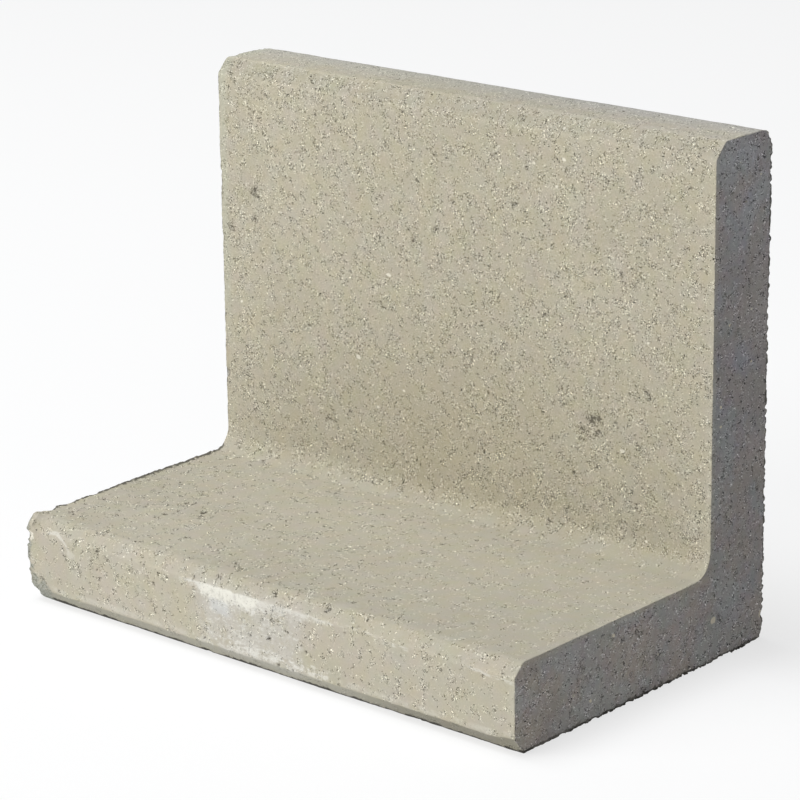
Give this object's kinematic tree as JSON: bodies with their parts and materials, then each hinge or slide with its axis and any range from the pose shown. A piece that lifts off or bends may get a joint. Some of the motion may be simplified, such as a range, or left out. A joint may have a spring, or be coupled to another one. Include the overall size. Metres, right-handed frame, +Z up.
{
  "type": "l-shaped retaining element",
  "caption": "L-shaped concrete retaining element: an upright stem on a flat foot, with a rounded inner corner and bevelled edges, cast as one piece.",
  "frame": {"origin": "middle of the footprint, on the underside", "axes": "+X along the run of the wall (the length), +Y from the toe towards the back of the stem, +Z up"},
  "size_m": [0.5, 0.3, 0.4],
  "materials": {
    "concrete": "matte"
  },
  "bodies": {
    "root": {"retaining_element": "concrete"}
  },
  "joints": []
}
